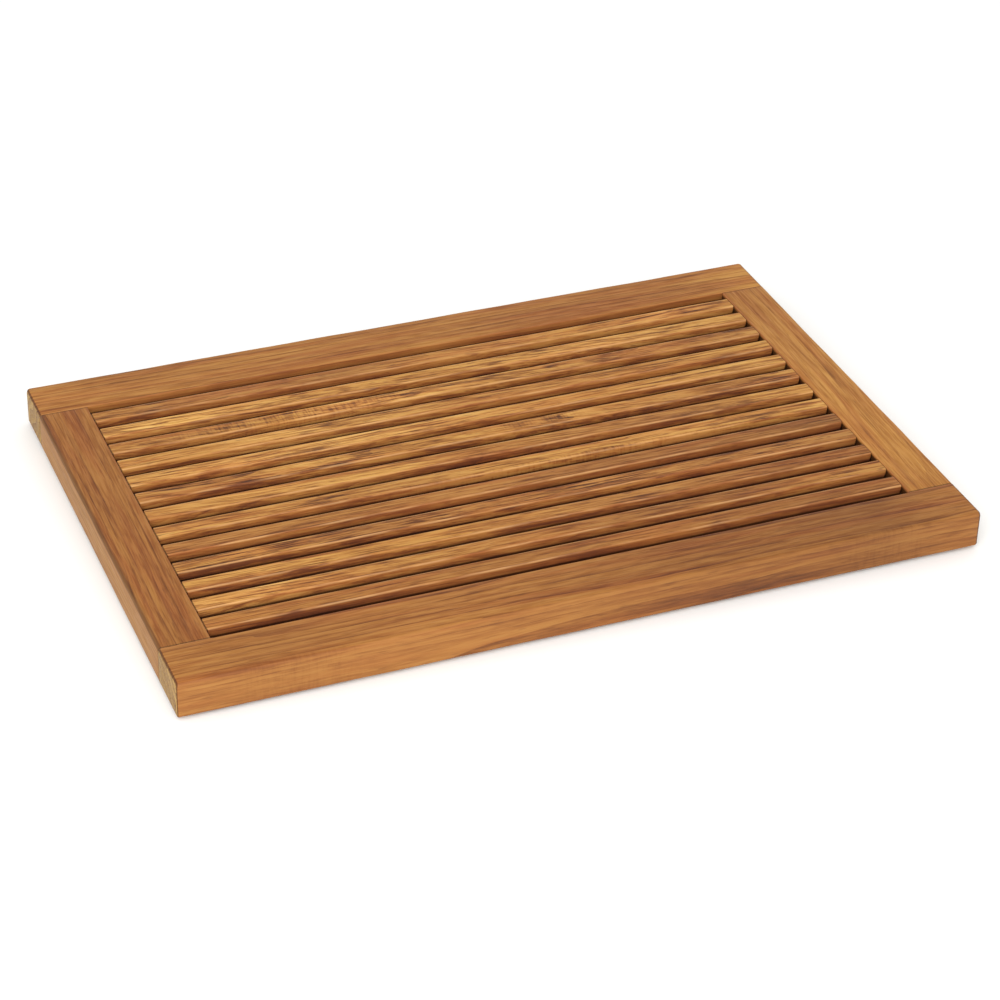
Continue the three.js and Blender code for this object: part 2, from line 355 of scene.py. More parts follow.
# %% Make the slats
SCREW_HOLE_RADIUS = 2.05 * MM
SCREW_HOLE_TOP = wood_bottom + 20.3 * MM


def screw_hole(y, bottom):
    """An upright hole on the mat's middle line, from the height bottom up, as a turned shape."""
    radius, top = SCREW_HOLE_RADIUS, SCREW_HOLE_TOP
    return turned([(0, bottom), (radius, bottom), (radius, top), (0, top)], (0, y, 0), 24)


def make_slat(name, seed):
    """A slat with its tenons and its screw's hole. Its ends are rounded upright and eased on top."""
    low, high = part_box(name)
    middle_y, middle_z = (low.y + high.y) / 2, (low.z + high.z) / 2
    radii = (SLAT_ARRIS, SLAT_ARRIS, SLAT_BOTTOM_ARRIS, SLAT_BOTTOM_ARRIS)
    ends = (SLAT_CORNER, SLAT_END_BOTTOM_ARRIS, SLAT_CORNER, SLAT_END_ARRIS)
    s, outlines = timber_rings(2 * slat_half_body, (low.y, low.z), (high.y, high.z), radii, ends, seed)
    half_width, half_height = SLAT_TENON["width"] / 2, SLAT_TENON["height"] / 2
    s, outlines = with_tenons(
        s,
        outlines,
        (middle_y - half_width, middle_z - half_height),
        (middle_y + half_width, middle_z + half_height),
        SLAT_TENON["length"],
    )
    slat = piece_from(name + "_wood", [capped(s, outlines, along=0)])
    return carve(slat, [screw_hole(middle_y, low.z - MM)])


slats = {name: make_slat(name, seed=100 + i) for i, name in enumerate(slat_names)}
print("slat faces:", len(slats[slat_names[0]].data.polygons))

# %% [markdown]
# ## The long rails
# The front and back rails run the full length, so their ends show end grain. Their outer top arris is
# rounded most, where bare feet meet it. Along the opening the arris is small, and where an end rail butts
# against them it is left almost sharp, so that the joint closes to a fine line. The cuts are two mortises
# for the end rails' tenons, a housing for the bearer, a screw hole, and three stepped seats for the feet.

# %% Make the long rails
BEARER_LAP = 10 * MM
SCREW_FROM_FACE = 5 * MM


def arris_radii(outer):
    """A rail's four radii, in the order of rounded_rectangles. Its outer side, -1 or 1, is rounded most."""
    top = {outer: OUTER_ARRIS, -outer: OPENING_ARRIS}
    bottom = {outer: BOTTOM_ARRIS, -outer: OPENING_ARRIS}
    return top[1], top[-1], bottom[-1], bottom[1]


def mortises(tenon, face, outer, middles, level, axis):
    """Blocks that are FIT larger than a tenon on every side. They start 1 mm outside a face and run outward
    into the rail, along X where axis is 0 and along Y where it is 1."""
    near, far = sorted((face - outer * MM, face + outer * (tenon["length"] + FIT)))
    half_width, half_height = tenon["width"] / 2 + FIT, tenon["height"] / 2 + FIT
    cuts = []
    for middle in middles:
        low = (near, middle - half_width, level - half_height)
        high = (far, middle + half_width, level + half_height)
        if axis == 1:
            low, high = (low[1], low[0], low[2]), (high[1], high[0], high[2])
        cuts.append(block(low, high))
    return cuts


def foot_seat(centre_x, centre_y):
    """A shallow round seat with a narrower hole for the foot's stem above it, as one turned shape."""
    profile = [(0, -1), (8.3, -1), (8.3, 1.3), (3.3, 1.3), (3.3, 8.3), (0, 8.3)]
    return turned(np.array(profile) * MM, (centre_x, centre_y, wood_bottom))


def make_long_rail(name, outer, sanded_ends, seed):
    """outer is -1 for the front rail, whose outer side faces -Y, and 1 for the back rail. sanded_ends are the
    ends, 0 for the left and 1 for the right, whose outer upright corner is sanded round."""
    low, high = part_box(name)
    side_end = {outer: CORNER_ARRIS, -outer: JOINT_ARRIS}
    ends = np.array([(side_end[-1], BOTTOM_ARRIS, side_end[1], OUTER_ARRIS)] * 2)
    outer_side, inner_corners = (0, [0, 3]) if outer < 0 else (2, [1, 2])
    ends[sanded_ends, outer_side] = SANDED_CORNER
    jointed = (inner_corners, high.x - opening_x, JOINT_ARRIS)
    size = (high.x - low.x, (low.y, low.z), (high.y, high.z))
    s, outlines = timber_rings(*size, arris_radii(outer), ends, seed, jointed)
    rail = piece_from(name + "_wood", [capped(s, outlines, along=0)])

    face = outer * opening_y
    tenon_x, tenon_z = (left_low.x + left_high.x) / 2, (wood_bottom + wood_top) / 2
    joints = mortises(CORNER_TENON, face, outer, (tenon_x, -tenon_x), tenon_z, axis=1)
    near, far = sorted((face - outer * MM, face + outer * BEARER_LAP))
    lap_low = (bearer_low.x - FIT, near, wood_bottom - MM)
    lap_high = (bearer_high.x + FIT, far, wood_bottom + BEARER_LAP)
    joints.append(block(lap_low, lap_high))
    hole = screw_hole(face + outer * SCREW_FROM_FACE, wood_bottom + 5 * MM)
    foot_boxes = [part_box(foot) for foot in foot_names if foot.startswith(name.split("_")[0])]
    seats = [foot_seat((a.x + b.x) / 2, (a.y + b.y) / 2) for a, b in foot_boxes]
    return carve(carve(rail, joints), [hole, *seats])


long_rails = {
    "front_long_rail": make_long_rail("front_long_rail", outer=-1, sanded_ends=[1], seed=1),
    "back_long_rail": make_long_rail("back_long_rail", outer=1, sanded_ends=[0, 1], seed=2),
}
print("long rail faces:", [len(rail.data.polygons) for rail in long_rails.values()])

# %% [markdown]
# ## The end rails
# The two short rails lie between the long ones, with a tenon at each end, and their grain runs across the
# mat. Their inner edge holds a row of thirteen small mortises that take the slats' stub tenons.

# %% Make the end rails
def make_end_rail(name, outer, seed):
    """outer is -1 for the left rail, whose outer side faces -X, and 1 for the right rail."""
    low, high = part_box(name)
    size = (2 * (opening_y - FIT), (low.x, low.z), (high.x, high.z))
    s, outlines = timber_rings(*size, arris_radii(outer), (JOINT_ARRIS,) * 4, seed)
    middle = np.array([(low.x + high.x) / 2, (low.z + high.z) / 2])
    half = np.array([CORNER_TENON["width"], CORNER_TENON["height"]]) / 2
    s, outlines = with_tenons(s, outlines, middle - half, middle + half, CORNER_TENON["length"])
    rail = piece_from(name + "_wood", [capped(s, outlines, along=1)])
    level = (slat_low.z + slat_high.z) / 2
    return carve(rail, mortises(SLAT_TENON, outer * opening_x, outer, slat_middles, level, axis=0))


end_rails = {
    "left_end_rail": make_end_rail("left_end_rail", outer=-1, seed=3),
    "right_end_rail": make_end_rail("right_end_rail", outer=1, seed=4),
}
print("end rail faces:", [len(rail.data.polygons) for rail in end_rails.values()])

# %% [markdown]
# ## The bearer
# A thin batten under the middle of the slats stops them from bending underfoot. It is let into both long
# rails, and each slat is screwed to it from below, so its underside has fifteen countersunk holes.

# %% Make the bearer
BEARER_ARRIS = 0.6 * MM


def countersink(centre_y):
    """A cone that matches the screw head, then the clearance hole for its shank, as one turned shape."""
    shank = SCREW_HOLE_RADIUS / MM
    profile = [(0, -1), (3.8, -1), (3.8, 0.4), (shank, 2.3), (shank, 11), (0, 11)]
    return turned(np.array(profile) * MM, (0, centre_y, wood_bottom), 32)


def make_bearer(name, seed):
    """A batten along Y with every edge eased alike, and a countersunk hole for each screw."""
    low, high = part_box(name)
    eased = (BEARER_ARRIS,) * 4
    s, outlines = timber_rings(high.y - low.y, (low.x, low.z), (high.x, high.z), eased, eased, seed)
    batten = piece_from(name + "_wood", [capped(s, outlines, along=1)])
    return carve(batten, [countersink(y) for y in screw_ys])


screw_ys = [sum(corner.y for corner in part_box(name)) / 2 for name in screw_names]
bearer = make_bearer("centre_bearer", seed=5)
print("bearer faces:", len(bearer.data.polygons))

# %% [markdown]
# ## Countersunk screws
# A stainless wood screw has a cone under its flat head, a cross recess in the head, and a thread that runs
# to the point. The radius is one function of height and angle: the shank's radius plus a ridge that climbs
# one pitch in each turn. The recess is a second function, on the head's face.

# %% Make the screws
SCREW_SEGMENTS = 24
THREAD_PITCH = 1.6 * MM


def screw_rings(centre, base):
    """Rings from the middle of the head's face up to the point. On the face, the height at radius r and angle
    a is the recess, 1.3 mm deep in two crossed slots: |r sin a| or |r cos a| below 0.37 mm, and r below
    1.5 mm. On the shank, the radius at height h is the core's plus a ridge of 0.45 mm, which stands where
    fract(h / pitch - a / 2 pi) is near a half."""
    angle = np.linspace(0, 2 * np.pi, SCREW_SEGMENTS, endpoint=False)
    face_r = np.linspace(0, 3.2, 17)[:, None] * MM
    across = np.minimum(np.abs(face_r * np.sin(angle)), np.abs(face_r * np.cos(angle)))
    in_slot = np.clip((0.62 * MM - across) / (0.25 * MM), 0, 1)
    in_reach = np.clip((1.8 * MM - face_r) / (0.3 * MM), 0, 1)
    face_h = 1.3 * MM * (in_slot * in_reach)
    head_r = np.array([3.4, 3.5, 3.5, 3.4, 1.75])[:, None] * MM
    head_h = np.array([0.03, 0.12, 0.35, 0.5, 2.2])[:, None] * MM
    shank_h = np.arange(2.6 * MM, 17 * MM, THREAD_PITCH / 5)[:, None]
    ridge = np.abs((shank_h / THREAD_PITCH - angle / (2 * np.pi)) % 1 - 0.5) * 2
    grow = np.clip((shank_h - 5 * MM) / (1 * MM), 0, 1)
    shank_r = (1.75 - grow * 0.5 + 0.45 * grow * np.clip(1 - ridge * 3, 0, 1)) * MM
    point_h = np.array([18, 19, 20])[:, None] * MM
    point_r = np.array([0.85, 0.4, 0.0])[:, None] * MM
    rows_r = [face_r, head_r, shank_r, point_r]
    rows_h = [face_h, head_h, shank_h, point_h]
    radius = np.concatenate([np.broadcast_to(r, (len(r), SCREW_SEGMENTS)) for r in rows_r])
    height = np.concatenate([np.broadcast_to(h, (len(h), SCREW_SEGMENTS)) for h in rows_h])
    return np.stack(
        [centre[0] + radius * np.cos(angle), centre[1] + radius * np.sin(angle), base + height], axis=-1
    )


screws = {
    name: piece_from(name + "_steel", [screw_rings((0, y), wood_bottom)], sharp_angle=35)
    for name, y in zip(screw_names, screw_ys)
}
print(len(screws), "screws of", len(screws[screw_names[0]].data.polygons), "faces")

# %% [markdown]
# ## Rubber feet
# Six moulded feet keep the wood off a wet floor. Each is a disc with a stem pressed into the rail. A moulded
# part has no sharp edge, and its sole has shallow rings for grip. One profile turned about its axis gives
# the whole foot.

# %% Make the feet
def foot_profile():
    """Radius and height in mm, turned to metres: the sole from its middle outwards, a rounded edge, the side,
    the shoulder and the tapered stem. The sole's rings are a cosine of the radius, 0.25 mm deep and 1.6 mm
    apart."""
    sole_r = np.linspace(0, 6.4, 34)
    sole_h = 0.125 * (1 - np.cos(2 * np.pi * sole_r / 1.6)) * (sole_r > 0.8) * (sole_r < 6.4)
    turn = np.linspace(0, np.pi / 2, 7)
    edge_r, edge_h = 6.8 + 0.9 * np.sin(turn), 0.9 - 0.9 * np.cos(turn)
    side_r, side_h = [8.0, 8.0], [1.5, 3.1]
    shoulder_r, shoulder_h = 7.6 + 0.4 * np.cos(turn), 3.1 + 0.4 * np.sin(turn)
    stem_r, stem_h = [3.3, 3.0, 2.95, 2.6, 2.2, 0], [3.5, 3.8, 8.5, 10.1, 10.5, 10.5]
    radius = np.concatenate([sole_r, edge_r, side_r, shoulder_r, stem_r])
    height = np.concatenate([sole_h, edge_h, side_h, shoulder_h, stem_h])
    return np.column_stack([radius, height]) * MM


feet = {}
for name in foot_names:
    low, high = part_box(name)
    centre = ((low.x + high.x) / 2, (low.y + high.y) / 2, low.z)
    feet[name] = piece_from(name + "_rubber", [turned(foot_profile(), centre, 64)], sharp_angle=50)
lowest = min(vertex.co.z for foot in feet.values() for vertex in foot.data.vertices)
print(len(feet), "feet, lowest point", round(lowest, 5), "m")

# %% [markdown]
# ## Teak
# Oiled teak is golden brown with darker growth rings, long dark fibre streaks and short open pores. The
# finish is a solid pattern: it fills space, so the rings run through an edge onto the next face, and end
# grain shows their arcs. Each board has its own place in the log. The distance from the log's pith, the
# centre of the tree, divided by the ring spacing, gives the ring, and the tree's slow bends come from noise.

# %% Teak tones
SUNLIT = "DEB161"
STRAW = "D4A559"
HONEY = "CA9B50"
GOLD = "C19046"
AMBER = "BA8842"
OCHRE = "B2803D"
TAN = "AB7839"
RUSSET = "A37134"
CHESTNUT = "9A692E"
UMBER = "8E5F29"
END_GRAIN = "AE8A4C"

# %% [markdown]
# Each board is described as a joiner would sort it: the tones along it from left to right, or from front to
# back on a board that lies across the mat, then where the pith was, how wide the rings are, how much the
# tree wandered, how far the grain runs out along the board, and how bold its clouds, its fine fibres and its
# ring lines are. outer is a tone that its outer side tends to, and how far, and soaked is how dark oil has
# made its outer top arris.
# A mark is a place where the wood is darker, or lighter where its strength is below zero: the place (x, y, z)
# from the board's middle, its length along the grain, its width, and its strength. A ripple, where the grain
# curls, is a place (x, y), a length, a width and a strength. All lengths are in millimetres.

# %% Describe the boards
BOARDS = {
    "back_long_rail": dict(
        tones=(AMBER, OCHRE, OCHRE, OCHRE, OCHRE, TAN, TAN, OCHRE, GOLD),
        pith=(-60, -45), ring=4.6, wander=4, slope=0.012,
        bold=0.6, fine=0.45, lines=1.1,
        outer=("8F6444", 0.2),
    ),
    "front_long_rail": dict(
        tones=(TAN, RUSSET, TAN, TAN, RUSSET, CHESTNUT, CHESTNUT, UMBER, TAN),
        pith=(48, -52), ring=4.8, wander=4, slope=0.015,
        bold=0.6, fine=0.45, lines=1.1,
        outer=("8F6444", 0.2),
        marks=[(-120, -12, 13, 90, 8, -0.14), (-220, -20, 2, 60, 9, -0.12), (40, -20, 9, 120, 6, -0.12),
               (110, -21, -7, 120, 8, 0.26), (-20, -21, -10, 90, 5, 0.16), (235, -20, 4, 55, 10, -0.2)],
        ripples=[(-215, -21, 60, 7, 0.08), (225, -21, 45, 7, 0.08)],
    ),
    "left_end_rail": dict(
        tones=(CHESTNUT, RUSSET, RUSSET, RUSSET, RUSSET, RUSSET, TAN),
        pith=(55, -40), ring=4.4, wander=3, slope=0.015,
        bold=0.5, fine=0.45, lines=0.9, soaked=0.6,
        outer=("B0854A", 0.4),
    ),
    "right_end_rail": dict(
        tones=(AMBER, GOLD, GOLD, GOLD, AMBER, OCHRE, OCHRE),
        pith=(-50, -45), ring=5.0, wander=4, slope=0.012,
        bold=0.5, fine=0.38, lines=0.6,
        outer=("C89A5A", 0.3),
    ),
    "centre_bearer": dict(
        tones=(TAN, RUSSET, TAN),
        pith=(40, 60), ring=4.0, wander=5, slope=0.02,
        fine=0.6,
    ),
    "slat_01": dict(
        tones=(AMBER, TAN, TAN, RUSSET, AMBER, AMBER, GOLD, STRAW, GOLD),
        pith=(70, -30), ring=3.6, wander=6, slope=0.03,
        marks=[(222, 0, 9, 10, 9, 0.22), (150, 2, 9, 60, 3, -0.12), (-225, -7, 5, 40, 4, 0.25),
               (60, -7, 6, 120, 3, -0.14)],
    ),
    "slat_02": dict(
        tones=(STRAW, SUNLIT, HONEY, GOLD, GOLD, HONEY, STRAW, HONEY, GOLD),
        pith=(-60, -30), ring=3.8, wander=7, slope=0.05,
        marks=[(-108, 2, 9, 14, 6, 0.25), (-72, -1, 9, 9, 8, 0.28), (-222, -1, 9, 8, 4, 0.25),
               (196, 0, 9, 14, 6, 0.17), (-54, -6, 6, 12, 5, 0.19)],
    ),
    "slat_03": dict(
        tones=(OCHRE, AMBER, GOLD, SUNLIT, HONEY, GOLD, AMBER, OCHRE, OCHRE),
        pith=(20, -35), ring=3.2, wander=9, slope=0.04,
        marks=[(-28, 1, 9, 9, 8, 0.25), (88, 2, 9, 8, 7, 0.25), (130, -2, 9, 26, 5, 0.21),
               (158, -6, 6, 16, 5, 0.25), (205, -6, 6, 18, 5, 0.26), (240, -4, 8, 14, 6, 0.22),
               (-230, -7, 5, 40, 4, 0.19)],
        ripples=[(-130, 0, 120, 12, 0.22)],
    ),
    "slat_04": dict(
        tones=(GOLD, GOLD, STRAW, HONEY, AMBER, AMBER, GOLD, GOLD, GOLD),
        pith=(90, -20), ring=3.0, wander=4, slope=0.01,
        marks=[(-230, -7, 4, 60, 4, 0.22), (120, -7, 4, 60, 4, 0.15)],
    ),
    "slat_05": dict(
        tones=(HONEY, STRAW, STRAW, STRAW, HONEY, GOLD, GOLD, HONEY, HONEY),
        pith=(110, 20), ring=3.0, wander=4, slope=0.01,
        marks=[(-215, -7, 6, 80, 6, 0.4), (-60, -7, 6, 200, 5, 0.28), (150, -7, 6, 120, 5, 0.24)],
    ),
    "slat_06": dict(
        tones=(AMBER, OCHRE, HONEY, GOLD, GOLD, HONEY, AMBER, OCHRE, GOLD),
        pith=(10, -40), ring=3.4, wander=8, slope=0.06,
        marks=[(-194, -7, 6, 50, 6, 0.34), (-120, -5, 7, 40, 5, 0.3), (-32, -7, 6, 60, 6, 0.34),
               (60, -6, 7, 30, 5, 0.28), (120, -7, 6, 80, 5, 0.24), (200, -6, 7, 50, 5, 0.3),
               (245, -5, 7, 14, 5, 0.28)],
        ripples=[(50, 2, 60, 8, 0.13)],
    ),
    "slat_07": dict(
        tones=(AMBER, HONEY, HONEY, HONEY, AMBER, OCHRE, TAN, HONEY, GOLD),
        pith=(-80, -20), ring=3.4, wander=5, slope=0.05,
        bold=0.6, fine=0.75,
        marks=[(-190, -7, 6, 70, 5, 0.28), (-20, -7, 6, 120, 6, 0.34), (170, -6, 7, 100, 6, 0.3)],
    ),
    "slat_08": dict(
        tones=(HONEY, AMBER, AMBER, OCHRE, GOLD, GOLD, HONEY, GOLD, HONEY),
        pith=(50, -60), ring=3.6, wander=5, slope=0.03,
        bold=1.3, fine=1.1,
        marks=[(-20, -7, 6, 110, 5, -0.45), (130, -7, 6, 120, 5, -0.5), (-235, -6, 6, 30, 4, 0.12)],
        ripples=[(60, -7, 190, 5, 0.24)],
    ),
    "slat_09": dict(
        tones=(TAN, TAN, OCHRE, TAN, TAN, RUSSET, RUSSET, CHESTNUT, UMBER),
        pith=(120, -10), ring=3.0, wander=3, slope=0.01,
        bold=0.8, fine=0.8,
        marks=[(-60, -6, 8, 70, 3, -0.09)],
    ),
    "slat_10": dict(
        tones=(OCHRE, GOLD, RUSSET, TAN, OCHRE, AMBER, TAN, TAN, RUSSET),
        pith=(100, 30), ring=3.0, wander=4, slope=0.01,
        bold=1.5, fine=1.2,
        marks=[(-235, -6, 6, 70, 6, 0.45), (-130, -6, 6, 40, 4, 0.3), (-30, 2, 9, 60, 4, -0.16),
               (120, -7, 7, 140, 3, -0.2)],
    ),
    "slat_11": dict(
        tones=(GOLD, HONEY, GOLD, GOLD, AMBER, TAN, TAN, CHESTNUT, RUSSET),
        pith=(-70, -30), ring=3.4, wander=6, slope=0.03,
        bold=0.9, fine=0.85,
        marks=[(78, -3, 8, 30, 6, 0.24), (-180, -7, 6, 150, 6, 0.4), (0, -7, 6, 60, 5, 0.28),
               (60, 3, 9, 50, 3, -0.1)],
    ),
    "slat_12": dict(
        tones=(STRAW, STRAW, AMBER, OCHRE, OCHRE, CHESTNUT, CHESTNUT, OCHRE, OCHRE),
        pith=(60, -40), ring=3.4, wander=7, slope=0.04,
        bold=0.85, fine=0.9,
        marks=[(-205, -3, 8, 16, 3, 0.24), (-180, -6, 6, 10, 3, 0.24), (125, -6, 7, 22, 5, -0.22),
               (90, -7, 5, 60, 4, 0.16)],
    ),
    "slat_13": dict(
        tones=(AMBER, OCHRE, OCHRE, RUSSET, RUSSET, OCHRE, RUSSET, CHESTNUT, TAN),
        pith=(130, 10), ring=3.0, wander=3, slope=0.01,
        bold=0.5, fine=0.65,
        marks=[(-190, -7, 6, 110, 6, 0.42), (20, -7, 6, 90, 6, 0.36), (117, -6, 6, 16, 5, 0.36),
               (190, -7, 6, 90, 5, 0.28)],
    ),
}
print(len(BOARDS), "boards described")

# %% [markdown]
# The material's nodes follow that story in order: board coordinates in millimetres, the wander, the rings,
# the fibres, pores and marks, and then the colour, the roughness and the bump. A noise stretched along the
# board is a patch of grain, and one function makes them all. Real fibres and pores are 0.05 to 0.3 mm across,
# too fine to show on a whole mat, so the finest are drawn 1.3 mm across, as the bundles that the eye sees.

# %% Board space and patches of grain
def board_space(tree, centre, across_mat):
    """Millimetres from the board's middle: X along its grain, Y across it, Z up. A board that lies across the
    mat is turned by a quarter, so its X is the mat's Y."""
    turn = (0, 0, math.pi / 2) if across_mat else (0, 0, 0)
    at = add(tree, "TexCoord", out="Object")
    moved = {"Vector": at, "Location": centre, "Rotation": turn, "Scale": (MM, MM, MM)}
    return add(tree, "Mapping", moved, vector_type="TEXTURE")


def grain(tree, source, size, seed, low, high, detail=2.0, rough=0.5):
    """A noise whose patches measure size = (x, y, z) mm, made 0 below low and 1 above high, smoothly."""
    scaled = add(tree, "VectorMath", (source, tuple(1 / v for v in size)), operation="MULTIPLY")
    inputs = {"Vector": scaled, "W": seed, "Scale": 1.0, "Detail": detail, "Roughness": rough}
    noise = add(tree, "TexNoise", inputs, out="Fac", noise_dimensions="4D")
    limits = {"Value": noise, "From Min": low, "From Max": high}
    return add(tree, "MapRange", limits, **SMOOTH)


def drifted(tree, source, size, seed, amount, detail=1.0):
    """The source moved by amount = (x, y, z) mm times a noise from -0.5 to 0.5 whose patches measure size."""
    scaled = add(tree, "VectorMath", (source, tuple(1 / v for v in size)), operation="MULTIPLY")
    inputs = {"Vector": scaled, "W": seed, "Scale": 1.0, "Detail": detail}
    noise = add(tree, "TexNoise", inputs, out="Color", noise_dimensions="4D")
    centred = add(tree, "VectorMath", (noise, (0.5, 0.5, 0.5)), operation="SUBTRACT")
    return add(tree, "VectorMath", (centred, amount, source), operation="MULTIPLY_ADD")


def patch(tree, source, middle, squeeze, full):
    """1 near a middle and 0 outside an ellipse round it, smoothly from full, a share of its radius, to its
    edge. squeeze is 1 / radius along each axis, or 0 where the ellipse has no end."""
    near = add(tree, "VectorMath", (source, middle), operation="SUBTRACT")
    near = add(tree, "VectorMath", (near, squeeze), operation="MULTIPLY")
    near = add(tree, "VectorMath", (near,), out="Value", operation="LENGTH")
    return add(tree, "MapRange", (near, 1.0, full), **SMOOTH)


print("the finest grain drawn is 1.3 mm across")

# %% [markdown]
# A tree lays down one ring a year, pale early wood first and then a thin dark line of late wood. Where a
# plane cuts the rings they show as long lines on the sides and as arcs on the ends. Every ring also has a
# tone of its own, as years differ. Rings made as a wave texture would all be alike, so the ring's number is
# counted instead, and its fraction and whole part give the line and the tone.

# %% Growth rings
def growth_rings(tree, board, seed, pith, ring, wander, slope):
    """The ring's number is |(y, z) - pith| / ring plus a slow unevenness, after the board is bent by a sway
    of wander mm and leans by slope. Returns the bent space, the late wood, which is the number's fraction
    cubed, and a tone from 0 to 1 for its whole part."""
    along = add(tree, "SeparateXYZ", (board,), out="X")
    bent = drifted(tree, board, (170, 40, 40), seed, (0, 2 * wander, 2 * wander))
    lean = add(tree, "CombineXYZ", {"Y": along, "Z": along})
    bent = add(tree, "VectorMath", (lean, (0, slope, slope / 2), bent), operation="MULTIPLY_ADD")
    from_pith = add(tree, "VectorMath", (bent, (0, *pith)), operation="SUBTRACT")
    from_pith = add(tree, "VectorMath", (from_pith, (0, 1, 1)), operation="MULTIPLY")
    from_pith = add(tree, "VectorMath", (from_pith,), out="Value", operation="LENGTH")
    uneven = grain(tree, board, (400, 18, 18), seed + 7, 0.2, 0.8, 1.0)
    number = add(tree, "Math", (from_pith, ring), operation="DIVIDE")
    number = add(tree, "Math", (uneven, 1.6, number), operation="MULTIPLY_ADD")
    fraction = add(tree, "Math", (number,), operation="FRACT")
    late = add(tree, "Math", (fraction, 3.0), operation="POWER")
    year = add(tree, "Math", (number,), operation="FLOOR")
    return bent, late, add(tree, "TexWhiteNoise", {"W": year}, out="Value", noise_dimensions="1D")


print("a slat shows about", round(13.5 / BOARDS["slat_01"]["ring"]), "rings")

# %% [markdown]
# Everything that darkens the wood is added up to one figure: late wood, each ring's tone, long streaks,
# fibres, soft clouds, marks and ripples. Each part is counted from its usual value, so that a bolder board
# has more contrast but stays as bright. One ramp later turns the figure into a stain.

# %% The figure
LEVEL = 0.45


def figure_of(tree, board, bent, seed, late, ring_tone, about):
    """LEVEL plus the sum of (part - its usual value) times its weight, and then the board's marks and
    ripples. Returns the figure, the fibres and the pores."""
    bold, fine, lines = (about.get(key, 1.0) for key in ("bold", "fine", "lines"))
    fibre = grain(tree, bent, (24, 1.3, 1.3), seed + 13, 0.36, 0.64, 3.0, 0.6)
    streak = grain(tree, bent, (50, 2.6, 2.6), seed + 17, 0.38, 0.64, 3.0, 0.6)
    cloud = grain(tree, board, (110, 9, 9), seed + 29, 0.25, 0.75, 3.0, 0.6)
    pore = grain(tree, bent, (12, 1.3, 1.3), seed + 23, 0.6, 0.72, 1.0)
    parts = [
        (late, 0.25, 0.24 * lines),
        (ring_tone, 0.5, 0.12 * bold),
        (cloud, 0.5, 0.36 * bold),
        (streak, 0.48, 0.26 * fine),
        (fibre, 0.5, 0.46 * fine),
    ]
    figure = LEVEL - sum(usual * weight for _, usual, weight in parts)
    for part, _, weight in parts:
        figure = add(tree, "Math", (part, weight, figure), operation="MULTIPLY_ADD")

    ragged = drifted(tree, board, (9, 2.5, 2.5), seed + 37, (30, 6, 6), 2.0)
    for x, y, z, long, wide, strength in about.get("marks", ()):
        inside = patch(tree, ragged, (x, y, z), (1 / long, 1 / wide, 1 / wide), 0.1)
        figure = add(tree, "Math", (inside, strength, figure), operation="MULTIPLY_ADD")
    curl = grain(tree, board, (1.8, 14, 14), seed + 41, 0.4, 0.66, 1.0)
    for x, y, long, wide, strength in about.get("ripples", ()):
        inside = patch(tree, ragged, (x, y, 0), (1 / long, 1 / wide, 0), 0.3)
        curled = add(tree, "Math", (curl, inside), operation="MULTIPLY")
        figure = add(tree, "Math", (curled, strength, figure), operation="MULTIPLY_ADD")
    return figure, fibre, add(tree, "Math", (pore, fine), operation="MULTIPLY")


print("marks described:", sum(len(about.get("marks", ())) for about in BOARDS.values()))

# %% [markdown]
# The board's tone and the stain are two ramps, multiplied. Some parts of teak are redder than others, so a
# slow blush is laid over them. Down in the gaps, where little light reaches, shade is painted into the
# colour:
# a little on every side that faces a gap and much more deep down, with a painted shadow in the corners at the
# slats' ends. A thin dark line marks each joint. A rail's outer side is tinted towards a tone of its own. A
# slat's top arrises are paler in patches, partly worn by feet and sanding and partly a painted highlight. End
# grain is drier and more olive, with a dark line where its edge soaked up oil.

# %% The colour
STAINS = ((0.0, "FFFFFF"), (0.3, "F0E4D6"), (0.55, "CDB49A"), (0.8, "94765F"), (1.0, "5C463C"))
PORE_TINT = "7A5240"
BLUSH_TINT = "F3E0D8"
# Painted shade: the darker, redder tone that the sides facing a gap tend to.
GAP_SIDE_SHADE_TONE = "A25C3E"
# Painted shade deep in the gaps and painted shadow in the slats' corners; the same dark also draws each
# joint's line.
GAP_SHADE_AND_JOINT_TINT = "3A2619"
# A paler tint on the slats' top arrises: partly wear, partly a painted highlight.
WORN_AND_HIGHLIGHT_ARRIS_TINT = "DDAE74"
VESSEL_TINT = "8C6844"
END_ARRIS_TINT = "6B4A2C"
# Where the painted shade deep in a gap begins and where it is full, in mm below the top, for each kind of
# board.
GAP_SHADE_FROM = {"slat": (5.1, 6.5), "end": (0.7, 3.0), "long": (5.1, 6.5)}
# The most that each tone or tint may do, from 0 to 1: painted shade on a gap's sides, painted shade deep
# in it, painted shadow in a slat's corners, the joint's line, paler worn arrises with a painted highlight,
# the pores, and the soaked end arris.
GAP_SIDE_SHADE_SHARE = 0.3
GAP_SHADE_SHARE = 0.84
CORNER_SHADOW_SHARE = 0.9
JOINT_SHARE = 0.6
WORN_AND_HIGHLIGHT_SHARE = 0.4
PORE_SHARE = 0.55
END_ARRIS_SHARE = 0.75


